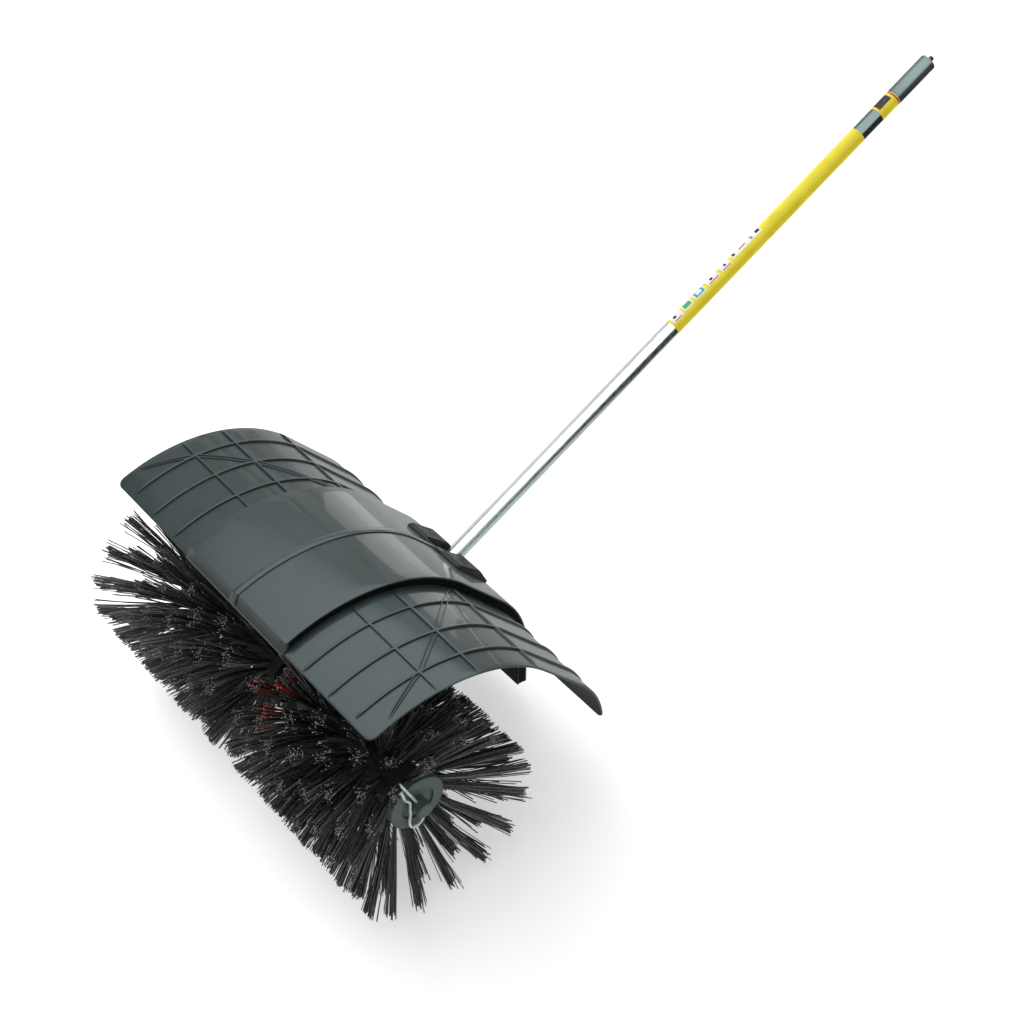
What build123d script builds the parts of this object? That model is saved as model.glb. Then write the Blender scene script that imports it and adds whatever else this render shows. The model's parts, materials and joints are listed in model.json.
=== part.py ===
"""Rotary bristle sweeper attachment: drive tube, worm gearbox, two brush halves and a deflector.

Millimetres. The origin is the centre of the drive tube's outer end, where the power unit's
coupling goes on. +X runs along the brush axle, +Y points back to the operator, +Z is up.
"""
import os
from math import atan2, cos, degrees, hypot, pi, radians, sin

from build123d import *

os.makedirs("parts", exist_ok=True)

# ---------------------------------------------------------------- driving dimensions
# Drive tube: it rises behind the brush at this angle, and carries the drive shaft.
tube_pitch = 26.7
tube_reach = 1322.0          # from the worm's centre to the tube's outer end
tube_radius = 12.7
tube_wall = 1.6
tube_start = 50.0            # where the tube stops inside the housing's neck
sleeve_radius = 13.4
sleeve_long = 76.0
main_label = (753.0, 1164.0)  # where the printed wraps start and end along the tube
end_label = (1206.0, 1244.0)
lug_start = 1302.0           # the timing lug stands inside the tube's end and reaches past it
lug_reach = 5.0
lug_radius = 10.0
lug_thick = 2.4
lug_width = 6.0
lug_turn = -147.0            # round the tube from +X, positive towards its underside
shaft_radius = 4.0
bush_long = 20.0
bush_spots = (200.0, 480.0, 760.0, 1040.0, 1290.0)

# Worm gear pair: single-start worm, right-hand thread.
gear_module = 2.0
wheel_teeth = 30
worm_pitch_radius = 10.0
centre_distance = gear_module * wheel_teeth / 2 + worm_pitch_radius
tooth_pitch = pi * gear_module
running_gap = 0.05           # radial clearance of every turning fit
worm_shaft_radius = 6.0

# Axle and brush halves.
axle_radius = 12.5
axle_half = 282.0
brush_inner = 32.0           # inner end of each brush half
brush_outer = 251.0          # outer end of each brush half
core_radius = 34.0
core_wall = 6.0
brush_radius = 150.0         # to the bristle tips
tuft_rows = 8
tufts_per_row = 16
tip_spread_inner = 32.0      # where the innermost and outermost tips end, from the middle
tip_spread_outer = 318.0
tuft_base_radius = 2.5
tuft_tip_radius = 6.0
row_first = 52.0             # where the innermost and outermost rows stand on the core
row_last = 240.0
contact_rows = (2, 5)        # a few tufts of these rows carry the brush on the ground
tuft_turn = 5.0              # the first tuft of a row stands this far back from upright
red_places = ((0, 14), (1, 13), (1, 14))   # (row, place) of the marker tufts, right half only
pin_x = 40.0
pin_radius = 4.0

# End discs and hitch pins.
disc_radius = 44.0
disc_thick = 13.0
clip_wire = 2.0              # wire radius
clip_plane = 268.4
clip_turn = 23.0             # tilt of the clip's straight leg away from upright
clip_free_end = -75.6        # the leg's free end, measured from the axle towards the loop

# Deflector: an arch round the brush, then a straight run, then a tail that curls down.
guard_half = 300.0
guard_radius = 252.0
guard_wall = 3.0
guard_front = 21.0           # how far the arch reaches forward of upright
guard_shoulder = 50.0        # where the arch turns into the straight run
guard_run = 107.0
guard_tail_radius = 176.0
guard_tail_turn = 36.3
hump_half = 115.0            # half width of the raised middle
hump_rise = 13.4
skirt_drop = 96.0            # the middle hangs this far below the side sections
rib_height = 3.0
rib_width = 4.0
corner_round = 12.0
arc_rib_spots = (155.0, 209.0, 260.0)
axial_rib_angles = (4.0, 19.0, 45.0)

# Gear housing.
housing_half = 27.0
bearing_outer = 23.5
bearing_width = 12.0
seal_outer = 20.0
wheel_room_radius = 35.0
housing_boss = 9.0
barrel_radius = 19.0
barrel_bore = 14.0
barrel_front = -52.0
neck_end = 85.0
wheel_case_radius = 40.0
housing_screw_spots = (
    (37.7, 66.4), (0.0, 86.0), (-37.7, 66.4), (-40.0, -25.0), (30.0, -25.0), (68.0, 25.0), (68.0, -25.0),
)

# ---------------------------------------------------------------- reference frame
tube_axis = Vector(0, cos(radians(tube_pitch)), sin(radians(tube_pitch)))
tube_up = Vector(0, -sin(radians(tube_pitch)), cos(radians(tube_pitch)))
worm_centre = tube_axis * -tube_reach
axle_centre = worm_centre + tube_up * centre_distance


def side_plane(x):
    """Plane square to the axle: its x is the row's +Y, its y is up, its origin on the axle."""
    return Plane(origin=axle_centre + Vector(x, 0, 0), x_dir=(0, 1, 0), z_dir=(1, 0, 0))


def tube_plane(s):
    """Plane square to the tube, s along it from the worm's centre: its x is +X, its y is under."""
    return Plane(origin=worm_centre + tube_axis * s, x_dir=(1, 0, 0), z_dir=tube_axis)


def gear_plane(x):
    """Plane square to the axle with its origin at the worm's centre and its x along the tube."""
    return Plane(origin=worm_centre + Vector(x, 0, 0), x_dir=tube_axis, z_dir=(1, 0, 0))


def on_arch(angle, radius):
    """Point of a side plane at this angle forward (-) or back (+) of upright."""
    return Vector(radius * sin(radians(angle)), radius * cos(radians(angle)))


# ---------------------------------------------------------------- deflector
run_way = Vector(cos(radians(guard_shoulder)), -sin(radians(guard_shoulder)))
tail_centre = on_arch(guard_shoulder, guard_radius - guard_tail_radius) + run_way * guard_run


def guard_edge(rise, front, drop):
    """One edge of the deflector's section, this far outside the side sections' outer face."""
    arc = CenterArc((0, 0), guard_radius + rise, 90 - guard_shoulder, guard_shoulder + front)
    run = Line(arc @ 0, arc @ 0 + run_way * guard_run)
    tail = CenterArc(tail_centre, guard_tail_radius + rise, 90 - guard_shoulder, -guard_tail_turn)
    if drop > 0:
        skirt = Line(tail @ 1, tail @ 1 - Vector(0, drop))
        return arc @ 1, skirt @ 1
    return arc @ 1, tail @ 1


def guard_band(x, inner, outer, front=guard_front, drop=0.0):
    """Strip of the deflector's section between two rises, on the side plane at x."""
    with BuildSketch(side_plane(x)) as band:
        with BuildLine():
            inner_front, inner_tail = guard_edge(inner, front, drop)
            outer_front, outer_tail = guard_edge(outer, front, drop)
            Line(inner_front, outer_front)
            Line(inner_tail, outer_tail)
        make_face()
    return band.sketch


def on_gear(s, up):
    """Point of a side plane, s along the tube and this far above its axis."""
    foot = Vector(tube_axis.Y, tube_axis.Z) * s + Vector(tube_up.Y, tube_up.Z) * (up - centre_distance)
    return foot


def face_plane(angle, radius, along=0.0):
    """Plane facing outward at a point of the arch: its x is +X, its y runs back and down."""
    middle = on_arch(angle, radius)
    out = on_arch(angle, 1)
    back = Vector(out.Y, -out.X) * along
    origin = axle_centre + Vector(0, middle.X + back.X, middle.Y + back.Y)
    return Plane(origin=origin, x_dir=(1, 0, 0), z_dir=(0, out.X, out.Y))


# The bracket's pads lie on the straight run of the raised middle, either side of the tube.
bracket_half = 56.0
bracket_slot = 17.5
grommet_start = 262.0         # along the tube; the grommet ends level with the raised middle
grommet_long = 13.0
bracket_rise = 10.8
bracket_screw_x = 38.0
bracket_seat = 6.0           # the bolt heads sit this far above the raised middle
bracket_plane = face_plane(guard_shoulder, guard_radius + hump_rise, guard_run - 26)

# The stay stands on a clamp round the tube and holds the raised middle from below.
stay_at = 182.0              # where the clamp holds the tube, from the worm's centre
stay_half = 28.0
stay_thick = 3.0
stay_screw_x = 14.0
stay_angle = 43.0            # where the stay's top flange meets the raised middle
stay_boss = 8.0
stay_plane = face_plane(stay_angle, guard_radius + hump_rise - guard_wall - stay_boss)
clamp_radius = 17.0
clamp_ear = 5.0
clamp_gap = 0.5
clamp_long = 30.0
clamp_spots = ((22.5, 9.5), (22.5, -9.5), (-22.5, 9.5), (-22.5, -9.5))
clamp_plane = Plane(origin=worm_centre + tube_axis * stay_at, x_dir=(1, 0, 0), z_dir=tube_up)

# Tabs inside the raised middle join the two halves.
seam_tab_angles = (-10.0, 12.0, 30.0)
seam_tab = 15.0
seam_thick = 4.0
seam_screw_drop = 8.0

hump_front = guard_front - 2.5


def clip_point(along, off):
    """Point of the hitch pin's plane, along its leg towards the loop and off to one side."""
    way = Vector(sin(radians(clip_turn)), -cos(radians(clip_turn)))
    return way * along + Vector(-cos(radians(clip_turn)), -sin(radians(clip_turn))) * off


# The hitch pin's bend: round the loop, back over the stub, then a wave and a lead-in.
clip_curve = (
    (14.0, 0.0), (24.7, 3.1), (32.5, 10.7), (34.6, 20.0), (28.5, 27.2), (18.0, 27.2), (8.0, 22.3),
    (-1.0, 16.8), (-10.5, 12.8), (-21.6, 7.4), (-34.7, 9.2), (-46.0, 8.1), (-59.0, 5.4), (-66.2, 12.7),
)
clip_end_way = clip_point(-0.8, 0.6)

for side, side_name in ((1, "right"), (-1, "left")):
    across = (side, 0, 0)
    section = guard_band(side * (hump_half - guard_wall), -guard_wall, 0)
    ribs = [guard_band(side * (x - rib_width / 2), -guard_wall / 2, rib_height) for x in arc_rib_spots]
    hump = guard_band(0, hump_rise - guard_wall, hump_rise, hump_front, skirt_drop)
    step = guard_band(side * (hump_half - guard_wall), -guard_wall, hump_rise, hump_front, skirt_drop)
    lip = guard_band(-7, hump_rise, hump_rise + 2.4, hump_front)
    with BuildPart() as deflector:
        extrude(section, amount=guard_half - hump_half + guard_wall, dir=across)
        corners = deflector.edges().filter_by(lambda e: abs(e.length - guard_wall) < 0.01)
        corners = corners.filter_by(lambda e: abs(abs(e.center().X) - guard_half) < 0.01)
        fillet(corners, radius=corner_round)
        for rib in ribs:
            extrude(rib, amount=rib_width, dir=across)
        with BuildSketch(side_plane(side * (hump_half - guard_wall / 2))) as axial_ribs:
            for angle in axial_rib_angles:
                middle = on_arch(angle, guard_radius + rib_height / 2 - guard_wall / 4)
                with Locations(Location((middle.X, middle.Y), -angle)):
                    Rectangle(rib_width, rib_height + guard_wall / 2)
        extrude(amount=guard_half - hump_half + guard_wall / 2, dir=across)
        extrude(hump, amount=hump_half, dir=across)
        extrude(step, amount=guard_wall, dir=across)
        with BuildSketch(side_plane(0)) as front_face:
            with BuildLine():
                Polyline(
                    on_arch(-guard_front, guard_radius - guard_wall),
                    on_arch(-guard_front - 0.6, guard_radius),
                    on_arch(-guard_front - 0.2, guard_radius + guard_wall),
                    on_arch(-hump_front, guard_radius + hump_rise),
                    on_arch(-hump_front + 0.6, guard_radius + hump_rise - guard_wall),
                    on_arch(-hump_front, guard_radius - guard_wall),
                    close=True,
                )
            make_face()
        extrude(amount=hump_half, dir=across)
        if side < 0:
            extrude(lip, amount=12, dir=(1, 0, 0))
        with BuildSketch(tube_plane(200)) as tube_hole:
            Circle(tube_radius + 2)
        extrude(amount=140, mode=Mode.SUBTRACT)
        with BuildSketch(bracket_plane) as bracket_hole:
            with Locations((side * bracket_screw_x, 0)):
                Circle(2.7)
        extrude(amount=10, both=True, mode=Mode.SUBTRACT)
        with BuildSketch(stay_plane) as stay_boss_outline:
            with Locations((side * stay_screw_x, 0)):
                Circle(6)
        extrude(amount=stay_boss + 1)
        with BuildSketch(stay_plane) as stay_hole:
            with Locations((side * stay_screw_x, 0)):
                Circle(2.2)
        extrude(amount=stay_boss, mode=Mode.SUBTRACT)
        for angle in seam_tab_angles:
            tab_plane = face_plane(angle, guard_radius + hump_rise - guard_wall - seam_tab)
            with BuildSketch(tab_plane) as tab_outline:
                with Locations((side * seam_thick / 2, 0)):
                    Rectangle(seam_thick, 18)
            extrude(amount=seam_tab + 1)
            hole = on_arch(angle, guard_radius + hump_rise - guard_wall - seam_screw_drop)
            with BuildSketch(side_plane(0)) as tab_hole:
                with Locations((hole.X, hole.Y)):
                    Circle(2.2)
            extrude(amount=side * seam_thick, mode=Mode.SUBTRACT)
    deflector.part.label = f"deflector_{side_name}"
    export_step(deflector.part, f"parts/deflector_{side_name}.step")


# ---------------------------------------------------------------- bracket, grommet, stay
bracket_bed = guard_band(-bracket_half, 0, hump_rise)
lip_channel = guard_band(-8, 0, hump_rise + 2.9)
bracket_side = Plane(origin=bracket_plane.origin, x_dir=bracket_plane.y_dir, z_dir=(1, 0, 0))
with BuildPart() as deflector_bracket:
    with BuildSketch(bracket_side) as pad:
        with BuildLine():
            Polyline((-36, -3), (-36, 2.5), (-29, 6.8), (20, bracket_rise), (50, 2), (50, -8), close=True)
        make_face()
    extrude(amount=bracket_half, both=True)
    extrude(bracket_bed, amount=2 * bracket_half, dir=(1, 0, 0), mode=Mode.SUBTRACT)
    extrude(lip_channel, amount=14, dir=(1, 0, 0), mode=Mode.SUBTRACT)
    with BuildSketch(tube_plane(200)) as slot:
        Circle(bracket_slot)
        with Locations((0, -bracket_half / 2)):
            Rectangle(2 * bracket_slot, bracket_half)
    extrude(amount=140, mode=Mode.SUBTRACT)
    with BuildSketch(bracket_plane) as holes:
        with Locations((bracket_screw_x, 0), (-bracket_screw_x, 0)):
            Circle(2.7)
    extrude(amount=20, mode=Mode.SUBTRACT)
    with BuildSketch(bracket_plane.offset(bracket_seat)) as seats:
        with Locations((bracket_screw_x, 0), (-bracket_screw_x, 0)):
            Circle(6)
    extrude(amount=20, mode=Mode.SUBTRACT)
deflector_bracket.part.label = "deflector_bracket"
export_step(deflector_bracket.part, "parts/deflector_bracket.step")

bracket_spots = [bracket_plane * Location((x, 0, bracket_seat)) for x in (bracket_screw_x, -bracket_screw_x)]
bracket_bolt_planes = [Plane(spot) for spot in bracket_spots]
with BuildPart() as bracket_bolts:
    with BuildSketch(*bracket_bolt_planes) as shanks:
        Circle(2.5)
    extrude(amount=-(bracket_seat + guard_wall + 6))
    with BuildSketch(*bracket_bolt_planes) as heads:
        RegularPolygon(4.6, 6)
    extrude(amount=3.5)
bracket_bolts.part.label = "bracket_bolts"
export_step(bracket_bolts.part, "parts/bracket_bolts.step")

with BuildPart() as bracket_nuts:
    with BuildSketch(*[plane.offset(-bracket_seat - guard_wall) for plane in bracket_bolt_planes]) as nuts:
        RegularPolygon(4.6, 6)
        Circle(2.52, mode=Mode.SUBTRACT)
    extrude(amount=-4)
bracket_nuts.part.label = "bracket_nuts"
export_step(bracket_nuts.part, "parts/bracket_nuts.step")

with BuildPart() as tube_grommet:
    with BuildSketch(tube_plane(grommet_start)) as grommet_ring:
        Circle(tube_radius + 1.8)
        Circle(tube_radius + 0.02, mode=Mode.SUBTRACT)
    extrude(amount=grommet_long)
tube_grommet.part.label = "tube_grommet"
export_step(tube_grommet.part, "parts/tube_grommet.step")

# The two halves of the tube clamp close on the tube with their ears this far off its middle.
for rise, clamp_name in ((1, "upper"), (-1, "lower")):
    with BuildPart() as tube_clamp:
        with BuildSketch(tube_plane(stay_at - clamp_long / 2)) as clamp_ring:
            Circle(clamp_radius)
            with Locations((0, -rise * (clamp_gap + clamp_ear / 2))):
                Rectangle(2 * stay_half, clamp_ear)
            Circle(tube_radius + 0.02, mode=Mode.SUBTRACT)
            with Locations((0, rise * 15 - rise * clamp_gap)):
                Rectangle(2 * stay_half + 2, 30, mode=Mode.SUBTRACT)
        extrude(amount=clamp_long)
        with BuildSketch(clamp_plane) as clamp_holes:
            with Locations(*clamp_spots):
                Circle(2.7)
        extrude(amount=20, both=True, mode=Mode.SUBTRACT)
    tube_clamp.part.label = f"tube_clamp_{clamp_name}"
    export_step(tube_clamp.part, f"parts/tube_clamp_{clamp_name}.step")

foot_middle = on_gear(stay_at, clamp_gap + clamp_ear + stay_thick / 2)
stay_top = on_arch(stay_angle, guard_radius + hump_rise - guard_wall - stay_boss - stay_thick / 2)
stay_back = Vector(cos(radians(stay_angle)), -sin(radians(stay_angle)))
stay_knee = stay_top - stay_back * 11
upright = stay_knee - foot_middle
upright_middle = foot_middle + upright * 0.5
with BuildPart() as deflector_stay:
    with BuildSketch(side_plane(-stay_half)) as stay_profile:
        with Locations(Location((foot_middle.X, foot_middle.Y), tube_pitch)):
            Rectangle(clamp_long, stay_thick)
        with Locations(Location((upright_middle.X, upright_middle.Y), degrees(atan2(upright.Y, upright.X)))):
            Rectangle(hypot(upright.X, upright.Y), stay_thick)
        with Locations(Location((stay_top.X - 3 * stay_back.X, stay_top.Y - 3 * stay_back.Y), -stay_angle)):
            Rectangle(19, stay_thick)
    extrude(amount=2 * stay_half)
    with BuildSketch(tube_plane(stay_at - 40)) as clamp_room:
        Circle(clamp_radius + 0.4)
    extrude(amount=80, mode=Mode.SUBTRACT)
    with BuildSketch(Plane(origin=clamp_plane.origin, x_dir=(1, 0, 0), z_dir=(0, 1, 0))) as window:
        with Locations((0, 75)):
            SlotCenterToCenter(46, 22, rotation=90)
    extrude(amount=60, both=True, mode=Mode.SUBTRACT)
    with BuildSketch(clamp_plane) as foot_holes:
        with Locations(*clamp_spots):
            Circle(2.7)
    extrude(amount=20, mode=Mode.SUBTRACT)
    with BuildSketch(stay_plane) as flange_holes:
        with Locations((stay_screw_x, 0), (-stay_screw_x, 0)):
            Circle(2.4)
    extrude(amount=-8, mode=Mode.SUBTRACT)
deflector_stay.part.label = "deflector_stay"
export_step(deflector_stay.part, "parts/deflector_stay.step")

clamp_bolt_planes = [
    Plane(clamp_plane * Location((x, y, clamp_gap + clamp_ear + stay_thick))) for x, y in clamp_spots
]
with BuildPart() as clamp_bolts:
    with BuildSketch(*clamp_bolt_planes) as shanks:
        Circle(2.5)
    extrude(amount=-(2 * clamp_gap + 2 * clamp_ear + stay_thick + 5))
    with BuildSketch(*clamp_bolt_planes) as heads:
        RegularPolygon(4.6, 6)
    extrude(amount=3.5)
clamp_bolts.part.label = "clamp_bolts"
export_step(clamp_bolts.part, "parts/clamp_bolts.step")

clamp_pack = 2 * clamp_gap + 2 * clamp_ear + stay_thick
with BuildPart() as clamp_nuts:
    with BuildSketch(*[plane.offset(-clamp_pack) for plane in clamp_bolt_planes]) as nuts:
        RegularPolygon(4.6, 6)
        Circle(2.52, mode=Mode.SUBTRACT)
    extrude(amount=-4)
clamp_nuts.part.label = "clamp_nuts"
export_step(clamp_nuts.part, "parts/clamp_nuts.step")

stay_screw_planes = [Plane(stay_plane * Location((x, 0, -stay_thick))) for x in (stay_screw_x, -stay_screw_x)]
with BuildPart() as stay_screws:
    with BuildSketch(*stay_screw_planes) as shanks:
        Circle(2.15)
    extrude(amount=stay_thick + stay_boss - 1)
    with BuildSketch(*stay_screw_planes) as heads:
        Circle(4.2)
    extrude(amount=-2.6)
    with BuildSketch(*[plane.offset(-2.6) for plane in stay_screw_planes]) as drives:
        RegularPolygon(1.8, 6)
    extrude(amount=1.5, mode=Mode.SUBTRACT)
stay_screws.part.label = "stay_screws"
export_step(stay_screws.part, "parts/stay_screws.step")

seam_spots = [on_arch(a, guard_radius + hump_rise - guard_wall - seam_screw_drop) for a in seam_tab_angles]
with BuildPart() as seam_bolts:
    with BuildSketch(side_plane(seam_thick)) as shanks:
        with Locations(*[(spot.X, spot.Y) for spot in seam_spots]):
            Circle(2.0)
    extrude(amount=-(2 * seam_thick + 4.5))
    with BuildSketch(side_plane(seam_thick)) as heads:
        with Locations(*[(spot.X, spot.Y) for spot in seam_spots]):
            RegularPolygon(4.0, 6)
    extrude(amount=3)
seam_bolts.part.label = "seam_bolts"
export_step(seam_bolts.part, "parts/seam_bolts.step")

with BuildPart() as seam_nuts:
    with BuildSketch(side_plane(-seam_thick)) as nuts:
        with Locations(*[(spot.X, spot.Y) for spot in seam_spots]):
            RegularPolygon(4.0, 6)
            Circle(2.02, mode=Mode.SUBTRACT)
    extrude(amount=-3.2)
seam_nuts.part.label = "seam_nuts"
export_step(seam_nuts.part, "parts/seam_nuts.step")

# ---------------------------------------------------------------- drive tube and what it carries
with BuildPart() as drive_tube:
    with BuildSketch(tube_plane(tube_start)) as tube_ring:
        Circle(tube_radius)
        Circle(tube_radius - tube_wall, mode=Mode.SUBTRACT)
    extrude(amount=tube_reach - tube_start)
drive_tube.part.label = "drive_tube"
export_step(drive_tube.part, "parts/drive_tube.step")

with BuildPart() as coupling_sleeve:
    with BuildSketch(tube_plane(tube_reach - sleeve_long)) as sleeve_ring:
        Circle(sleeve_radius)
        Circle(tube_radius + 0.02, mode=Mode.SUBTRACT)
    extrude(amount=sleeve_long)
    rims = coupling_sleeve.edges().filter_by(GeomType.CIRCLE).sort_by(SortBy.RADIUS)[-2:]
    chamfer(rims, length=0.4)
coupling_sleeve.part.label = "coupling_sleeve"
export_step(coupling_sleeve.part, "parts/coupling_sleeve.step")

with BuildPart() as locating_lug:
    with BuildSketch(tube_plane(lug_start)) as lug_end:
        with Locations(Location((0, 0), lug_turn)):
            with Locations((lug_radius, 0)):
                Rectangle(lug_thick, lug_width)
        Circle(tube_radius - tube_wall - 0.02, mode=Mode.INTERSECT)
    extrude(amount=tube_reach + lug_reach - lug_start)
    tip = locating_lug.faces().sort_by(Axis((0, 0, 0), tube_axis))[-1]
    chamfer(tip.edges(), length=0.5)
locating_lug.part.label = "locating_lug"
export_step(locating_lug.part, "parts/locating_lug.step")

with BuildPart() as shaft_bushes:
    with BuildSketch(*[tube_plane(s - bush_long / 2) for s in bush_spots]) as bush_rings:
        Circle(tube_radius - tube_wall - 0.02)
        Circle(shaft_radius + running_gap, mode=Mode.SUBTRACT)
    extrude(amount=bush_long)
shaft_bushes.part.label = "shaft_bushes"
export_step(shaft_bushes.part, "parts/shaft_bushes.step")

for (start, end), label_name in ((main_label, "main"), (end_label, "end")):
    with BuildPart() as tube_label:
        with BuildSketch(tube_plane(start)) as label_ring:
            Circle(tube_radius + 0.25)
            Circle(tube_radius + 0.02, mode=Mode.SUBTRACT)
        extrude(amount=end - start)
    tube_label.part.label = f"tube_label_{label_name}"
    export_step(tube_label.part, f"parts/tube_label_{label_name}.step")

# ---------------------------------------------------------------- gear housing
for side, side_name in ((1, "right"), (-1, "left")):
    with BuildPart() as gear_housing:
        with BuildSketch(gear_plane(0)) as flange:
            with Locations((0, centre_distance)):
                Circle(wheel_case_radius + 4)
            with Locations(((barrel_front + neck_end) / 2, 0)):
                Rectangle(neck_end - barrel_front, 2 * barrel_radius + 8)
            with Locations(*housing_screw_spots):
                Circle(7)
        extrude(amount=side * 5)
        with BuildSketch(gear_plane(0)) as bosses:
            with Locations(*housing_screw_spots):
                Circle(6.5)
        extrude(amount=side * housing_boss)
        with BuildSketch(gear_plane(0)) as wheel_case:
            with Locations((0, centre_distance)):
                Circle(wheel_case_radius)
        extrude(amount=side * 13)
        with BuildSketch(gear_plane(0)) as bearing_case:
            with Locations((0, centre_distance)):
                Circle(bearing_outer + 5)
        extrude(amount=side * housing_half)
        with BuildSketch(tube_plane(barrel_front)) as barrel:
            Circle(barrel_radius)
            with Locations((-side * 15, 0)):
                Rectangle(30, 2 * barrel_radius + 2, mode=Mode.SUBTRACT)
        extrude(amount=neck_end - barrel_front)
        with BuildSketch(gear_plane(0)) as wheel_room:
            with Locations((0, centre_distance)):
                Circle(wheel_room_radius)
        extrude(amount=side * 10, mode=Mode.SUBTRACT)
        with BuildSketch(gear_plane(0)) as bearing_room:
            with Locations((0, centre_distance)):
                Circle(bearing_outer + 0.02)
        extrude(amount=side * (10 + bearing_width), mode=Mode.SUBTRACT)
        with BuildSketch(gear_plane(0)) as seal_room:
            with Locations((0, centre_distance)):
                Circle(seal_outer + 0.02)
        extrude(amount=side * 26, mode=Mode.SUBTRACT)
        with BuildSketch(gear_plane(0)) as axle_way:
            with Locations((0, centre_distance)):
                Circle(axle_radius + 1)
        extrude(amount=side * 30, mode=Mode.SUBTRACT)
        with BuildSketch(tube_plane(barrel_front + 5)) as worm_room:
            Circle(barrel_bore)
        extrude(amount=44 - barrel_front - 5, mode=Mode.SUBTRACT)
        with BuildSketch(tube_plane(40)) as shaft_way:
            Circle(9)
        extrude(amount=12, mode=Mode.SUBTRACT)
        with BuildSketch(tube_plane(tube_start)) as tube_room:
            Circle(tube_radius + 0.03)
        extrude(amount=neck_end, mode=Mode.SUBTRACT)
        with BuildSketch(tube_plane(barrel_front - 1)) as plug_room:
            Circle(4.02)
        extrude(amount=10, mode=Mode.SUBTRACT)
        with BuildSketch(gear_plane(0)) as screw_ways:
            with Locations(*housing_screw_spots):
                Circle(2.7)
        extrude(amount=side * 15, mode=Mode.SUBTRACT)
    gear_housing.part.label = f"gear_housing_{side_name}"
    export_step(gear_housing.part, f"parts/gear_housing_{side_name}.step")

with BuildPart() as housing_bolts:
    with BuildSketch(gear_plane(housing_boss)) as shanks:
        with Locations(*housing_screw_spots):
            Circle(2.5)
    extrude(amount=-(2 * housing_boss + 5))
    with BuildSketch(gear_plane(housing_boss)) as heads:
        with Locations(*housing_screw_spots):
            Circle(4.3)
            RegularPolygon(2.3, 6, mode=Mode.SUBTRACT)
    extrude(amount=4.5)
    with BuildSketch(gear_plane(housing_boss)) as head_floors:
        with Locations(*housing_screw_spots):
            Circle(4.3)
    extrude(amount=2)
housing_bolts.part.label = "housing_bolts"
export_step(housing_bolts.part, "parts/housing_bolts.step")

with BuildPart() as housing_nuts:
    with BuildSketch(gear_plane(-housing_boss)) as nuts:
        with Locations(*housing_screw_spots):
            RegularPolygon(4.6, 6)
            Circle(2.52, mode=Mode.SUBTRACT)
    extrude(amount=-4)
housing_nuts.part.label = "housing_nuts"
export_step(housing_nuts.part, "parts/housing_nuts.step")

with BuildPart() as grease_plug:
    with BuildSketch(tube_plane(barrel_front)) as plug_stem:
        Circle(4)
    extrude(amount=6)
    with BuildSketch(tube_plane(barrel_front)) as plug_head:
        RegularPolygon(6.5, 6)
    extrude(amount=-5)
grease_plug.part.label = "grease_plug"
export_step(grease_plug.part, "parts/grease_plug.step")

for start, place in ((-44, "front"), (32, "rear")):
    with BuildPart() as worm_bearing:
        with BuildSketch(tube_plane(start)) as bearing_ring:
            Circle(barrel_bore - 0.02)
            Circle(worm_shaft_radius + running_gap, mode=Mode.SUBTRACT)
        extrude(amount=10)
        with BuildSketch(tube_plane(start)) as race_front:
            Circle(11.5)
            Circle(8.5, mode=Mode.SUBTRACT)
        extrude(amount=0.8, mode=Mode.SUBTRACT)
        with BuildSketch(tube_plane(start + 10)) as race_rear:
            Circle(11.5)
            Circle(8.5, mode=Mode.SUBTRACT)
        extrude(amount=-0.8, mode=Mode.SUBTRACT)
    worm_bearing.part.label = f"worm_bearing_{place}"
    export_step(worm_bearing.part, f"parts/worm_bearing_{place}.step")

for side, side_name in ((1, "right"), (-1, "left")):
    with BuildPart() as axle_bearing:
        with BuildSketch(side_plane(side * 10)) as bearing_ring:
            Circle(bearing_outer)
            Circle(axle_radius + running_gap, mode=Mode.SUBTRACT)
        extrude(amount=side * bearing_width)
        with BuildSketch(side_plane(side * 10)) as race_inner:
            Circle(20)
            Circle(16, mode=Mode.SUBTRACT)
        extrude(amount=side * 0.8, mode=Mode.SUBTRACT)
    axle_bearing.part.label = f"axle_bearing_{side_name}"
    export_step(axle_bearing.part, f"parts/axle_bearing_{side_name}.step")
    with BuildPart() as axle_seal:
        with BuildSketch(side_plane(side * (10 + bearing_width + 0.2))) as seal_ring:
            Circle(seal_outer)
            Circle(axle_radius + running_gap, mode=Mode.SUBTRACT)
        extrude(amount=side * 3.6)
        with BuildSketch(side_plane(side * (10 + bearing_width + 3.8))) as seal_groove:
            Circle(17.5)
            Circle(14.5, mode=Mode.SUBTRACT)
        extrude(amount=-side * 2, mode=Mode.SUBTRACT)
    axle_seal.part.label = f"axle_seal_{side_name}"
    export_step(axle_seal.part, f"parts/axle_seal_{side_name}.step")

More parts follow.
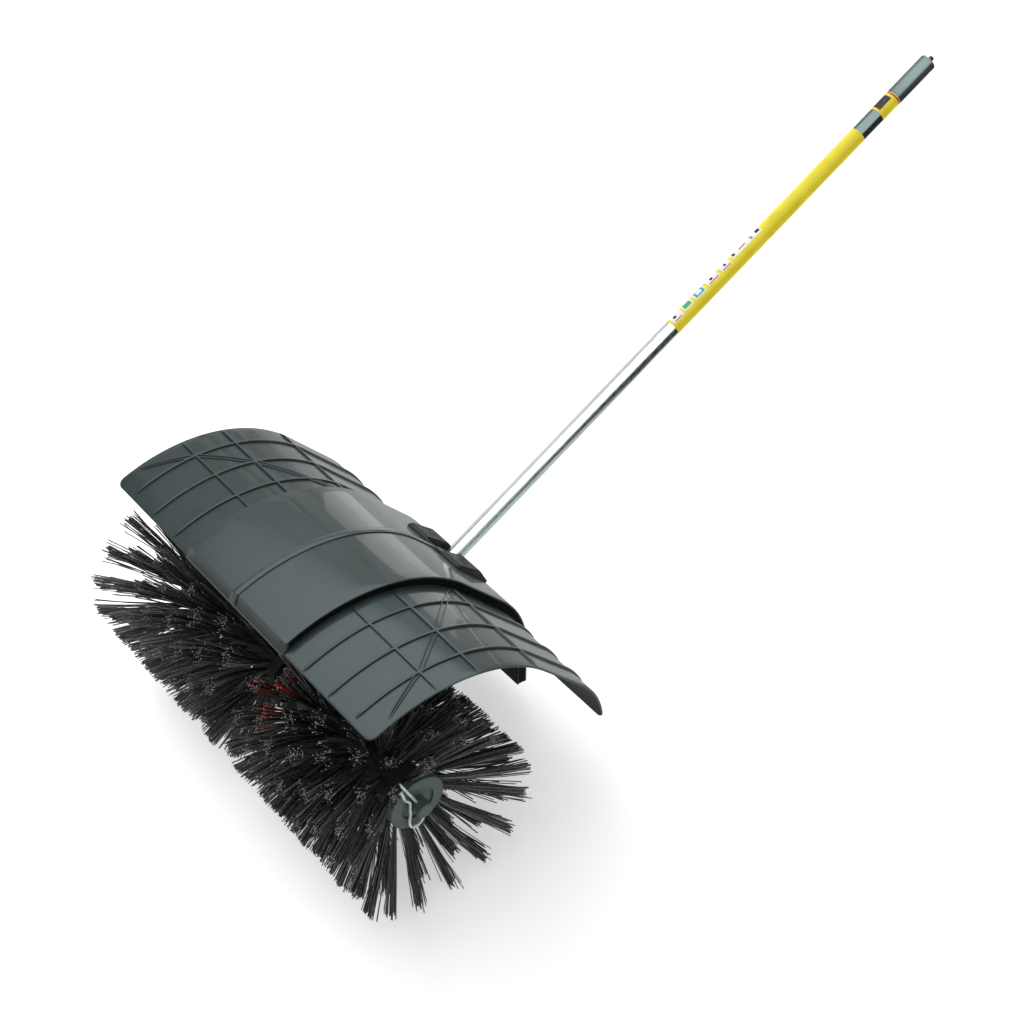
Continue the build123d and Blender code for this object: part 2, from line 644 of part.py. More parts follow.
# ---------------------------------------------------------------- worm and drive shaft
thread_turns = 7
thread_start = worm_centre - tube_axis * (tooth_pitch * thread_turns / 2)
thread_side = Plane(origin=thread_start, x_dir=tube_up, z_dir=tube_up.cross(tube_axis))
with BuildPart() as worm:
    with BuildSketch(tube_plane(-46)) as worm_shaft:
        Circle(worm_shaft_radius)
    extrude(amount=92)
    with BuildSketch(tube_plane(-24)) as worm_root:
        Circle(7.4)
    extrude(amount=48)
    with BuildLine() as thread_line:
        Helix(pitch=tooth_pitch, height=tooth_pitch * thread_turns, radius=9.5)
    thread_plane = Plane(origin=thread_start, x_dir=tube_up, z_dir=tube_axis)
    thread_path = thread_plane.from_local_coords(thread_line.line)
    with BuildSketch(thread_side) as thread_profile:
        with BuildLine():
            Polyline((7.1, -2.1), (12.0, -0.45), (12.0, 0.45), (7.1, 2.1), close=True)
        make_face()
    sweep(path=thread_path, is_frenet=True)
    with BuildSketch(tube_plane(33)) as shaft_socket:
        Circle(shaft_radius + 0.02)
    extrude(amount=14, mode=Mode.SUBTRACT)
worm.part.label = "worm"
export_step(worm.part, "parts/worm.step")

with BuildPart() as drive_shaft:
    with BuildSketch(tube_plane(33)) as shaft_round:
        Circle(shaft_radius)
    extrude(amount=tube_reach - 12 - 33)
    with BuildSketch(tube_plane(tube_reach - 12)) as shaft_square:
        Rectangle(5.6, 5.6)
    extrude(amount=22)
drive_shaft.part.label = "drive_shaft"
export_step(drive_shaft.part, "parts/drive_shaft.step")

# ---------------------------------------------------------------- worm wheel and axle
wheel_turn = tube_pitch - 90
tooth_spots = [Location((0, 0), wheel_turn + 360 / wheel_teeth * tooth) for tooth in range(wheel_teeth)]
with BuildPart() as worm_wheel:
    with BuildSketch(side_plane(-6)) as toothed:
        Circle(27.3)
        with Locations(*tooth_spots):
            Polygon((26.5, -2.25), (32, -0.55), (32, 0.55), (26.5, 2.25), align=None)
    extrude(amount=12)
    with BuildSketch(side_plane(-9)) as hub:
        Circle(20)
    extrude(amount=18)
    with BuildSketch(side_plane(-10)) as hub_way:
        Circle(axle_radius + 0.02)
        with Locations((0, 13)):
            Rectangle(6.04, 5.1)
    extrude(amount=20, mode=Mode.SUBTRACT)
worm_wheel.part.label = "worm_wheel"
export_step(worm_wheel.part, "parts/worm_wheel.step")

with BuildPart() as wheel_key:
    with BuildSketch(side_plane(-9)) as key_end:
        with Locations((0, 12.5)):
            Rectangle(6, 6)
    extrude(amount=18)
wheel_key.part.label = "wheel_key"
export_step(wheel_key.part, "parts/wheel_key.step")

clip_way = Vector(sin(radians(clip_turn)), -cos(radians(clip_turn)))
with BuildPart() as output_axle:
    with BuildSketch(side_plane(-axle_half)) as axle_round:
        Circle(axle_radius)
    extrude(amount=2 * axle_half)
    chamfer(output_axle.edges().filter_by(GeomType.CIRCLE), length=1.5)
    with BuildSketch(side_plane(-9)) as key_seat:
        with Locations((0, 12.5)):
            Rectangle(6.04, 6.04)
    extrude(amount=18, mode=Mode.SUBTRACT)
    for x in (-clip_plane, clip_plane):
        hole_centre = axle_centre + Vector(x, 0, 0)
        hole_plane = Plane(origin=hole_centre, x_dir=(1, 0, 0), z_dir=(0, clip_way.X, clip_way.Y))
        with BuildSketch(hole_plane) as clip_hole:
            Circle(clip_wire + 0.2)
        extrude(amount=20, both=True, mode=Mode.SUBTRACT)
    for x in (-pin_x, pin_x):
        hole_centre = axle_centre + Vector(x, 0, 0)
        with BuildSketch(Plane(origin=hole_centre, x_dir=(1, 0, 0), z_dir=(0, 0, 1))) as pin_hole:
            Circle(pin_radius + 0.02)
        extrude(amount=20, both=True, mode=Mode.SUBTRACT)
output_axle.part.label = "output_axle"
export_step(output_axle.part, "parts/output_axle.step")

with BuildPart() as drive_pins:
    with BuildSketch(Plane(origin=axle_centre, x_dir=(1, 0, 0), z_dir=(0, 0, 1))) as pin_rounds:
        with Locations((pin_x, 0), (-pin_x, 0)):
            Circle(pin_radius)
    extrude(amount=core_radius - 0.6, both=True)
drive_pins.part.label = "drive_pins"
export_step(drive_pins.part, "parts/drive_pins.step")

# ---------------------------------------------------------------- brush halves
def tuft_spot(side, row, place):
    """Location of one tuft's root, its own axis along the tuft."""
    share = row / (tuft_rows - 1)
    root = row_first + (row_last - row_first) * share
    tip = tip_spread_inner + (tip_spread_outer - tip_spread_inner) * share
    lean = atan2(tip - root, brush_radius - core_radius)
    start = core_radius + 0.3 + tuft_base_radius * abs(sin(lean))
    turn = radians((place + 0.5 * (row % 2)) * 360 / tufts_per_row + tuft_turn)
    out = Vector(0, sin(turn), cos(turn))
    way = out * cos(lean) + Vector(side * sin(lean), 0, 0)
    origin = axle_centre + Vector(side * root, 0, 0) + out * start
    return Plane(origin=origin, z_dir=way).location, (brush_radius - start) / cos(lean)


def tuft_spots(side, kind):
    """Every tuft of one kind on this half: (location, length, row) for each."""
    found = []
    for row in range(tuft_rows):
        for place in range(tufts_per_row):
            if row in contact_rows and place % 4 == contact_rows.index(row) * 2:
                this_kind = "contact"
            elif side > 0 and (row, place) in red_places:
                this_kind = "red"
            else:
                this_kind = "plain"
            if this_kind == kind:
                location, length = tuft_spot(side, row, place)
                found.append((location, length, row))
    return found


for side, side_name in ((1, "right"), (-1, "left")):
    with BuildPart() as brush_core:
        with BuildSketch(side_plane(side * brush_inner)) as core_ring:
            Circle(core_radius)
            Circle(axle_radius + 0.02, mode=Mode.SUBTRACT)
        extrude(amount=side * (brush_outer - brush_inner))
        with BuildSketch(Plane(origin=axle_centre, x_dir=(1, 0, 0), z_dir=(0, 0, 1))) as pin_way:
            with Locations((side * pin_x, 0)):
                Circle(pin_radius + 0.02)
        extrude(amount=60, both=True, mode=Mode.SUBTRACT)
        with BuildSketch(side_plane(side * (pin_x + 22))) as core_hollow:
            Circle(core_radius - core_wall)
            Circle(axle_radius + core_wall, mode=Mode.SUBTRACT)
        extrude(amount=side * brush_outer, mode=Mode.SUBTRACT)
    brush_core.part.label = f"brush_core_{side_name}"
    export_step(brush_core.part, f"parts/brush_core_{side_name}.step")

    with BuildPart() as end_disc:
        with BuildSketch(side_plane(side * brush_outer)) as disc_ring:
            Circle(disc_radius)
        extrude(amount=side * disc_thick)
        fillet(end_disc.edges().filter_by(GeomType.CIRCLE), radius=1.5)
        with BuildSketch(side_plane(side * (brush_outer + disc_thick))) as disc_dish:
            Circle(27)
        extrude(amount=-side * 3, mode=Mode.SUBTRACT)
        with BuildSketch(side_plane(side * (brush_outer - 1))) as disc_bore:
            Circle(axle_radius + 0.02)
        extrude(amount=side * 20, mode=Mode.SUBTRACT)
    end_disc.part.label = f"end_disc_{side_name}"
    export_step(end_disc.part, f"parts/end_disc_{side_name}.step")

    with BuildPart() as hitch_pin:
        with BuildLine() as clip_line:
            leg = Line(clip_point(clip_free_end, 0), clip_point(14, 0))
            Spline(*[clip_point(p, m) for p, m in clip_curve], tangents=(leg % 1, clip_end_way))
        clip_path = side_plane(side * clip_plane).from_local_coords(clip_line.line)
        with BuildSketch(Plane(origin=clip_path @ 0, z_dir=clip_path % 0)) as clip_round:
            Circle(clip_wire)
        sweep(path=clip_path)
    hitch_pin.part.label = f"hitch_pin_{side_name}"
    export_step(hitch_pin.part, f"parts/hitch_pin_{side_name}.step")

    for kind, kind_name in (("plain", "bristles"), ("contact", "contact_tufts")):
        spots = tuft_spots(side, kind)
        with BuildPart() as tufts:
            for row in range(tuft_rows):
                in_row = [(location, length) for location, length, its_row in spots if its_row == row]
                if in_row:
                    with Locations(*[location for location, length in in_row]):
                        Cone(
                            tuft_base_radius, tuft_tip_radius, in_row[0][1],
                            align=(Align.CENTER, Align.CENTER, Align.MIN),
                        )
        tufts.part.label = f"{kind_name}_{side_name}"
        export_step(tufts.part, f"parts/{kind_name}_{side_name}.step")

red_spots = tuft_spots(1, "red")
with BuildPart() as red_tufts:
    for location, length, row in red_spots:
        with Locations(location):
            Cone(tuft_base_radius, tuft_tip_radius, length, align=(Align.CENTER, Align.CENTER, Align.MIN))
red_tufts.part.label = "red_tufts"
export_step(red_tufts.part, "parts/red_tufts.step")
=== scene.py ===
"""Visual model of a rotary bristle sweeper attachment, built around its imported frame.

Metres, in the frame's own axes: +X along the brush axle, +Y back to the operator, +Z up.
"""

import json
from math import cos, pi, radians, sin, sqrt
from random import Random

import bmesh
import bpy
from mathutils import Matrix, Vector


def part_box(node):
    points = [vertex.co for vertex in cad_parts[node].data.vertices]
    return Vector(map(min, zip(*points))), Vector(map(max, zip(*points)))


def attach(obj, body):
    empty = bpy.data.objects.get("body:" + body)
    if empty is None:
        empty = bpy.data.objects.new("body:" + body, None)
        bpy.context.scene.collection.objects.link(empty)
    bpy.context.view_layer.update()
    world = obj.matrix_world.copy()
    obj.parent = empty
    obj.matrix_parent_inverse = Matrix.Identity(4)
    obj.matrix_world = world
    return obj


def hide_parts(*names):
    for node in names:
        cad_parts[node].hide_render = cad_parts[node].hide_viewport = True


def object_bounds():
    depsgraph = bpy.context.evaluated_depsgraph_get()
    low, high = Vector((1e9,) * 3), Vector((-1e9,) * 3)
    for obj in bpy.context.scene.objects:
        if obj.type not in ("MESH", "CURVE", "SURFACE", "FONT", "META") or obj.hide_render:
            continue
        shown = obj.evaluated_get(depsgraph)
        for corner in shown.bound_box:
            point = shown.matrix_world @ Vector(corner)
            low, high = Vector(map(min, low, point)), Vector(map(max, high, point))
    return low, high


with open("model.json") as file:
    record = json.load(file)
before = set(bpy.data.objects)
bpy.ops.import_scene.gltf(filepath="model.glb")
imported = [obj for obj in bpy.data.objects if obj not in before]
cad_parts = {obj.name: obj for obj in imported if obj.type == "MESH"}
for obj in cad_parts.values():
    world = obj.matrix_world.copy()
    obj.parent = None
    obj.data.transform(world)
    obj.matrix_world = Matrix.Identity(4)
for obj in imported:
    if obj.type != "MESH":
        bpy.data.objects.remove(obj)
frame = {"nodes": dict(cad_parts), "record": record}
cad_low, cad_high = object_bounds()
nodes = frame["nodes"]

MM = 0.001

# ------------------------------------------------------------------ the frame's own sizes
axle_low, axle_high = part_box("output_axle")
AXLE = (axle_low + axle_high) / 2
TUBE_PITCH = radians(26.7)
TUBE_AXIS = Vector((0, cos(TUBE_PITCH), sin(TUBE_PITCH)))
TUBE_UP = Vector((0, -sin(TUBE_PITCH), cos(TUBE_PITCH)))
TUBE_REACH = 1322.0
WORM = TUBE_AXIS * -TUBE_REACH * MM

# Deflector section, in millimetres about the axle.
ARC_RADIUS = 252.0
SHOULDER = radians(50.0)
RUN = 107.0
TAIL_RADIUS = 176.0
TAIL_TURN = radians(36.3)
WALL = 3.0
HALF_WIDTH = 300.0
HUMP_HALF = 115.0
HUMP_RISE = 13.4
SKIRT = 96.0
FRONT = -ARC_RADIUS * radians(21.0)
HUMP_FRONT = -ARC_RADIUS * radians(18.5)
ARC_END = ARC_RADIUS * SHOULDER
RUN_END = ARC_END + RUN
TAIL_END = RUN_END + TAIL_RADIUS * TAIL_TURN


def surface(x, along, rise):
    """Point of the deflector in metres: along runs from upright to the back on the outer face."""
    if along <= ARC_END:
        angle = along / ARC_RADIUS
        y = (ARC_RADIUS + rise) * sin(angle)
        z = (ARC_RADIUS + rise) * cos(angle)
    else:
        y = (ARC_RADIUS + rise) * sin(SHOULDER)
        z = (ARC_RADIUS + rise) * cos(SHOULDER)
        run = min(along, RUN_END) - ARC_END
        y += cos(SHOULDER) * run
        z -= sin(SHOULDER) * run
        if along > RUN_END:
            turn = SHOULDER + (min(along, TAIL_END) - RUN_END) / TAIL_RADIUS
            y += (TAIL_RADIUS + rise) * (sin(turn) - sin(SHOULDER))
            z += (TAIL_RADIUS + rise) * (cos(turn) - cos(SHOULDER))
            z -= max(0.0, along - TAIL_END)
    return AXLE + Vector((x, y, z)) * MM


# ------------------------------------------------------------------ mesh helpers
def new_object(name, bm, mats, angle=32.0):
    """Finish a bmesh as an object with smooth faces and sharp creases above the angle."""
    bmesh.ops.recalc_face_normals(bm, faces=bm.faces)
    mesh = bpy.data.meshes.new(name)
    bm.to_mesh(mesh)
    bm.free()
    for mat in mats:
        mesh.materials.append(mat)
    mesh.polygons.foreach_set("use_smooth", [True] * len(mesh.polygons))
    mesh.set_sharp_from_angle(angle=radians(angle))
    obj = bpy.data.objects.new(name, mesh)
    bpy.context.scene.collection.objects.link(obj)
    return obj


def loft(bm, rings, painted_shade=(), painted_shade_look=1):
    """Skin closed rings of equal length one after another, and cap both ends.

    The strips of faces that start at the painted_shade places of each ring take another of the piece's
    materials, which paints shade on them.
    """
    grid = [[bm.verts.new(point) for point in ring] for ring in rings]
    count = len(grid[0])
    for near, far in zip(grid, grid[1:]):
        for i in range(count):
            j = (i + 1) % count
            face = bm.faces.new((near[i], near[j], far[j], far[i]))
            face.material_index = painted_shade_look if i in painted_shade else 0
    bm.faces.new(grid[0])
    bm.faces.new(list(reversed(grid[-1])))


def spaced(start, end, step):
    """Values from start to end, about this far apart."""
    count = max(1, round((end - start) / step))
    return [start + (end - start) * i / count for i in range(count + 1)]


def surface_spots(start, end):
    """Stations along the deflector: close together on the curves, and at each change of curve."""
    marks = [start] + [m for m in (ARC_END, RUN_END, TAIL_END) if start < m < end] + [end]
    spots = []
    for a, b in zip(marks, marks[1:]):
        step = 30.0 if a in (ARC_END, TAIL_END) else 4.0
        spots += spaced(a, b, step)[:-1]
    return spots + [end]


def strip(bm, path, width, height, foot=-0.6, fade=0.0, edge=0.9):
    """A moulded rib along (x, along) points of the deflector's face, with a rounded top."""
    rings = []
    lengths = [0.0]
    for a, b in zip(path, path[1:]):
        lengths.append(lengths[-1] + sqrt((b[0] - a[0]) ** 2 + (b[1] - a[1]) ** 2))
    for i, (x, along) in enumerate(path):
        ahead = path[min(i + 1, len(path) - 1)]
        behind = path[max(i - 1, 0)]
        dx, dl = ahead[0] - behind[0], ahead[1] - behind[1]
        size = sqrt(dx * dx + dl * dl)
        nx, nl = -dl / size, dx / size
        near_end = min(lengths[i], lengths[-1] - lengths[i])
        share = 1.0 if fade <= 0 else min(1.0, 0.15 + near_end / fade)
        top = height * share
        half = width / 2
        profile = (
            (-half, foot), (-half + 0.15, top - edge), (-half + 0.45, top - edge * 0.35),
            (-half + edge + 0.1, top), (half - edge - 0.1, top),
            (half - 0.45, top - edge * 0.35), (half - 0.15, top - edge), (half, foot),
        )
        rings.append([surface(x + nx * w, along + nl * w, rise) for w, rise in profile])
    loft(bm, rings)


# ------------------------------------------------------------------ deflector
def wing(bm, side):
    """The thin outer section, with full-round edges and rounded outer corners."""
    corner = 12.0
    stations = surface_spots(FRONT + corner, TAIL_END - corner)
    ends = [corner * (1 - cos(radians(a))) for a in (0, 8, 16, 25, 35, 45, 55, 65, 75, 83, 90)]
    stations = [FRONT + e for e in ends[:-1]] + stations + [TAIL_END - e for e in reversed(ends[:-1])]
    rings = []
    for along in stations:
        gap = min(along - FRONT, TAIL_END - along)
        cut = corner - sqrt(max(0.0, corner**2 - max(0.0, corner - gap) ** 2))
        far = HALF_WIDTH - cut
        thick = WALL / 2
        if gap < thick:
            thick = max(0.12, sqrt(max(0.0, thick**2 - (thick - gap) ** 2)))
        edge_in = far - WALL / 2
        start = HUMP_HALF - 2.0
        columns = [start + (edge_in - start) * i / 22 for i in range(23)]
        ring = [(x, -WALL / 2 + thick) for x in columns]
        ring += [
            (edge_in + WALL / 2 * sin(radians(a)), -WALL / 2 + thick * cos(radians(a)))
            for a in (30, 60, 90, 120, 150)
        ]
        ring += [(x, -WALL / 2 - thick) for x in reversed(columns)]
        rings.append([surface(side * x, along, rise) for x, rise in ring])
    underside = len(ring) - len(columns)
    # The underside strips take the third look, darker and matt: a painted shade under the wing.
    loft(bm, rings, painted_shade=range(underside, len(ring) - 1), painted_shade_look=2)


def hump(bm, side):
    """The raised middle of one half with its rounded shoulder, side wall and hanging skirt."""
    round_off = 1.4
    column_step = 14.0
    side_in = HUMP_HALF - WALL
    top_in = HUMP_RISE - WALL
    floor_in = -WALL - 0.2
    outer = [(0.0, HUMP_RISE)]
    outer += [(x, HUMP_RISE) for x in spaced(column_step, HUMP_HALF - round_off, column_step)]
    outer += [
        (HUMP_HALF - round_off * (1 - sin(radians(a))), HUMP_RISE - round_off * (1 - cos(radians(a))))
        for a in (15, 30, 45, 60, 75, 90)
    ]
    wall_first = len(outer)
    outer += [
        (HUMP_HALF - 0.4, HUMP_RISE - 2.6), (HUMP_HALF - 1.6, 6.0),
        (HUMP_HALF - 2.2, -0.8), (HUMP_HALF - 1.0, -WALL),
    ]
    inner = [(side_in, -WALL), (side_in, top_in - 1.5), (side_in - 1.5, top_in), (0.0, top_in)]
    closed = [(side_in, -WALL), (side_in - 0.5, floor_in), (side_in - 2.0, floor_in), (0.0, floor_in)]
    closed_from = TAIL_END - 25
    hem = 0.8                        # the skirt's lower edge is rounded over this much
    rings = []
    for along in surface_spots(HUMP_FRONT, TAIL_END + SKIRT - hem):
        under = closed if along > closed_from else inner
        rings.append([surface(side * x, along, rise) for x, rise in outer + under])
    middle = HUMP_RISE / 2
    hemmed = []
    for x, rise in outer + closed:
        hemmed.append((x if x < side_in else x - 0.6, rise + (hem if rise < middle else -hem)))
    rings.append([surface(side * x, TAIL_END + SKIRT, rise) for x, rise in hemmed])
    # The side wall and the inner faces, with the skirt's closed end, take the near-black painted shade: the
    # shadow in the step and under the skirt is painted on.
    loft(bm, rings, painted_shade=(wall_first, wall_first + 1, *range(len(outer) - 1, len(outer) + len(inner))))


def front_strip(bm, side):
    """The sloped band that closes the raised middle's front, along X."""
    back = HUMP_FRONT
    profile = (
        (back + 3.0, HUMP_RISE - 2.2), (back + 0.8, HUMP_RISE - 0.25),
        (back - 0.6, HUMP_RISE - 0.1), (back - 1.6, HUMP_RISE - 0.9), (back - 8.5, 4.9),
        (FRONT - 1.9, 2.8), (FRONT - 2.7, 1.4), (FRONT - 2.9, 0.0),
        (FRONT - 2.5, -1.8), (FRONT - 1.0, -WALL), (FRONT + 4.0, -WALL), (back - 2.0, 4.0),
    )
    round_off = 3.0
    rings = []
    for x in spaced(0.0, HUMP_HALF - round_off, 16.0) + [HUMP_HALF - 1.6, HUMP_HALF - 0.6, HUMP_HALF]:
        drop = max(0.0, x - (HUMP_HALF - round_off)) / round_off
        ring = []
        for along, rise in profile:
            squeeze = 1.0 - 0.32 * drop**2 if rise > 0 else 1.0
            ring.append(surface(side * x, back + (along - back) * squeeze, rise * squeeze))
        rings.append(ring)
    loft(bm, rings)


def seam_lip(bm):
    """The left half's rounded bead, which laps over the right half along the middle line."""
    left, right, tall = -7.5, 5.0, 2.5
    buried = 0.8
    front_drop = 10.2                # the lip follows the sloped front strip down by this much
    middle, half = (left + right) / 2, (right - left) / 2
    rings = []
    slope = spaced(FRONT - 1.7, HUMP_FRONT - 1.6, 3.0)
    for along in slope + surface_spots(HUMP_FRONT + 0.4, TAIL_END + 2.0):
        down = max(0.0, HUMP_FRONT - 1.2 - along) / (HUMP_FRONT - FRONT + 0.5)
        base = HUMP_RISE - front_drop * down
        crown = tall * (1 - 0.72 * down)
        ring = [(left, base - buried)]
        ring += [
            (middle - half * cos(radians(a)), base + crown * sin(radians(a)) ** 0.7)
            for a in (12, 24, 38, 54, 72, 90, 108, 126, 144)
        ]
        ring += [(right - 0.35, base + crown * 0.66), (right, base + crown * 0.45), (right, base - buried)]
        rings.append([surface(x, along, rise) for x, rise in ring])
    loft(bm, rings)


def block(bm, centre, axes, half, cut):
    """A small block with chamfered long edges: axes are its three directions."""
    rings = []
    a, b = half[0], half[1]
    outline = (
        (-a + cut, -b), (a - cut, -b), (a, -b + cut), (a, b - cut),
        (a - cut, b), (-a + cut, b), (-a, b - cut), (-a, -b + cut),
    )
    for w, shrink in ((-half[2], cut), (-half[2] + cut, 0.0), (half[2] - cut, 0.0), (half[2], cut)):
        rings.append([
            centre + (axes[0] * (u * (a - shrink) / a) + axes[1] * (v * (b - shrink) / b) + axes[2] * w) * MM
            for u, v in outline
        ])
    loft(bm, rings)


def turned(bm, centre, way, profile, sides=32):
    """A round piece about an axis from (along, radius) points in millimetres."""
    way = way.normalized()
    side = way.orthogonal().normalized()
    other = way.cross(side)
    turns = [2 * pi * i / sides for i in range(sides)]
    circle = [side * cos(turn) + other * sin(turn) for turn in turns]
    rings = []
    for along, radius in profile:
        rings.append([centre + (way * along + spoke * radius) * MM for spoke in circle])
    loft(bm, rings)


def diagonal(bm, side):
    """The pair of thin slanting ribs that cross the corner panels, nearer together at the front."""
    knots = ((HUMP_HALF + 1, 45.6), (155.0, 33.2), (209.0, 19.0), (260.0, 4.0), (292.0, -12.5))
    parts = 6                        # stations between two knots
    apart = 3.9
    for sign in (-1, 1):
        path = []
        for (x0, a0), (x1, a1) in zip(knots, knots[1:]):
            for k in range(parts):
                t = k / parts
                path.append((x0 + (x1 - x0) * t, a0 + (a1 - a0) * t))
        path.append(knots[-1])
        total = len(path) - 1
        line = []
        for i, (x, angle) in enumerate(path):
            spread = apart * (1 - (i / total) ** 2 * 0.6)
            along = ARC_RADIUS * radians(angle)
            line.append((side * (x + sign * spread * 0.75), along + sign * spread * 0.5))
        strip(bm, line, 2.4, 2.2, fade=14.0, edge=0.7)


def seam_tabs(bm, side):
    """The tabs under the raised middle that the seam bolts pass through."""
    half = (2.0, 9.0, 8.0)
    sunk = 7.0                       # their middles stand this far under the roof
    for angle in (-10.0, 12.0, 30.0):
        out = Vector((0, sin(radians(angle)), cos(radians(angle))))
        back = Vector((0, cos(radians(angle)), -sin(radians(angle))))
        height = ARC_RADIUS + HUMP_RISE - WALL - sunk
        centre = AXLE + (out * height + Vector((side * half[0], 0, 0))) * MM
        block(bm, centre, (Vector((1, 0, 0)), back, out), half, 0.6)


def stay_boss(bm, side):
    """The boss under the raised middle that takes the stay's screw."""
    lean = radians(43.0)
    tall = 8.0
    out = Vector((0, sin(lean), cos(lean)))
    foot = AXLE + Vector((side * 14.0, 0, 0)) * MM + out * (ARC_RADIUS + HUMP_RISE - WALL - tall) * MM
    turned(bm, foot, out, ((0, 5.2), (0.5, 5.9), (6.0, 6.1), (tall + 1.0, 7.5)))


ARC_RIBS = (155.0, 209.0, 260.0)     # X of the ribs that run over the arch
AXIAL_RIBS = (4.0, 19.0, 45.0)       # degrees from upright of the ribs along X


def build_deflector(side, side_name, looks):
    """One moulded half; its looks are the outside, the near-black painted shade on the step and the inner
    faces, and the underside darkened as a painted shade.
    """
    bm = bmesh.new()
    wing(bm, side)
    hump(bm, side)
    front_strip(bm, side)
    for x in ARC_RIBS:
        start = FRONT + (9.0 if x == ARC_RIBS[-1] else 3.0)
        path = [(side * x, along) for along in surface_spots(start, TAIL_END - 5.0)]
        strip(bm, path, 4.0, 3.0, fade=10.0)
    for angle in AXIAL_RIBS:
        along = ARC_RADIUS * radians(angle)
        path = [(side * x, along) for x in spaced(HUMP_HALF, HALF_WIDTH - 2.0, 9.0)]
        strip(bm, path, 4.0, 2.9, fade=5.0)
    diagonal(bm, side)
    if side < 0:
        seam_lip(bm)
    seam_tabs(bm, side)
    stay_boss(bm, side)
    piece = new_object(f"deflector_shell_{side_name}", bm, looks)
    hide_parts(f"deflector_{side_name}")
    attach(piece, "frame")


# ------------------------------------------------------------------ materials
class Look:
    """A Principled material, with short calls that add texture nodes to it."""

    def __init__(self, name, colour, rough, metal=0.0, **sockets):
        self.mat = bpy.data.materials.new(name)
        self.mat.use_nodes = True
        self.tree = self.mat.node_tree
        self.shader = self.tree.nodes["Principled BSDF"]
        self.set("Base Color", (*colour, 1.0))
        self.set("Roughness", rough)
        self.set("Metallic", metal)
        for key, value in sockets.items():
            self.set(key.replace("_", " "), value)

    def set(self, socket, value):
        """Link an output to a socket of the shader, or set its constant."""
        if hasattr(value, "is_output"):
            self.tree.links.new(value, self.shader.inputs[socket])
        else:
            self.shader.inputs[socket].default_value = value

    def add(self, kind, inputs, **settings):
        """A new node with its settings, and its inputs by name or number."""
        node = self.tree.nodes.new(kind)
        for key, value in settings.items():
            setattr(node, key, value)
        for key, value in inputs.items():
            if hasattr(value, "is_output"):
                self.tree.links.new(value, node.inputs[key])
            else:
                node.inputs[key].default_value = value
        return node

    def place(self, stretch=(1, 1, 1), turn=(0, 0, 0)):
        coords = self.add("ShaderNodeTexCoord", {})
        turned_coords = self.add("ShaderNodeMapping", {"Vector": coords.outputs["Object"], "Rotation": turn})
        return self.add(
            "ShaderNodeMapping", {"Vector": turned_coords.outputs[0], "Scale": stretch}
        ).outputs[0]

    def noise(self, scale, detail=3.0, stretch=(1, 1, 1), turn=(0, 0, 0)):
        return self.add(
            "ShaderNodeTexNoise", {"Vector": self.place(stretch, turn), "Scale": scale, "Detail": detail}
        ).outputs[0]

    def span(self, value, low, high, start=0.0, end=1.0):
        """Spread the part of value between start and end over low to high."""
        return self.add("ShaderNodeMapRange", {0: value, 1: start, 2: end, 3: low, 4: high}).outputs[0]

    def math(self, operation, a, b=0.0, c=0.0):
        return self.add("ShaderNodeMath", {0: a, 1: b, 2: c}, operation=operation).outputs[0]

    def mix(self, share, a, b):
        a, b = [v if hasattr(v, "is_output") else (*v, 1.0) for v in (a, b)]
        return self.add("ShaderNodeMix", {0: share, 6: a, 7: b}, data_type="RGBA").outputs[2]

    def bump(self, height, distance, strength=1.0, under=None):
        inputs = {"Height": height, "Distance": distance, "Strength": strength}
        if under is not None:
            inputs["Normal"] = under
        return self.add("ShaderNodeBump", inputs).outputs[0]

    def vary(self, scale, darker, lighter, low, high, stretch=(1, 1, 1), turn=(0, 0, 0)):
        """Blotches of colour, and roughness that follows them."""
        cloud = self.noise(scale, 5.0, stretch, turn)
        share = self.span(cloud, 0.0, 1.0, 0.3, 0.7)
        self.set("Base Color", self.mix(share, darker, lighter))
        self.set("Roughness", self.span(cloud, low, high, 0.3, 0.7))
        return share


def tint(colour, amount):
    return tuple(min(1.0, c * amount) for c in colour)


def moulded(name, colour, low, high, grain=0.00004, gloss=0.0):
    """Moulded plastic: faint flow marks, fine grain, dust and a few rubbed scratches."""
    look = Look(name, colour, low, Specular_IOR_Level=0.5, Coat_Weight=gloss, Coat_Roughness=0.05)
    look.vary(9.0, tint(colour, 0.84), tint(colour, 1.18), low, high)
    dust = look.span(look.noise(60.0, 8.0), 0.0, 0.16, 0.52, 0.8)
    base = look.shader.inputs["Base Color"].links[0].from_socket
    dusty = look.mix(dust, base, tint(colour, 2.6))
    scratch = look.noise(55.0, 2.0, (1, 14, 14), (0.4, 0.2, 0.9))
    worn = look.span(scratch, 0.0, 0.22, 0.70, 0.76)
    look.set("Base Color", look.mix(worn, dusty, tint(colour, 3.4)))
    fine = look.bump(look.noise(1400.0, 2.0), grain)
    look.set("Normal", look.bump(look.noise(28.0, 3.0), 0.0004, 0.5, fine))
    return look.mat


def ribbed(name, colour):
    """Coarse black plastic with fine upright grooves and a rough, sharp-edged surface."""
    look = Look(name, colour, 0.5, Specular_IOR_Level=0.5)
    look.vary(120.0, tint(colour, 0.6), tint(colour, 2.1), 0.38, 0.72)
    grooves = {"Vector": look.place(), "Scale": 120.0, "Distortion": 1.4, "Detail": 2.0, "Detail Scale": 3.0}
    wave = look.add("ShaderNodeTexWave", grooves, bands_direction="X").outputs["Fac"]
    coarse = look.bump(look.noise(420.0, 4.0), 0.0005, 0.8)
    look.set("Normal", look.bump(wave, 0.0009, 0.9, coarse))
    return look.mat


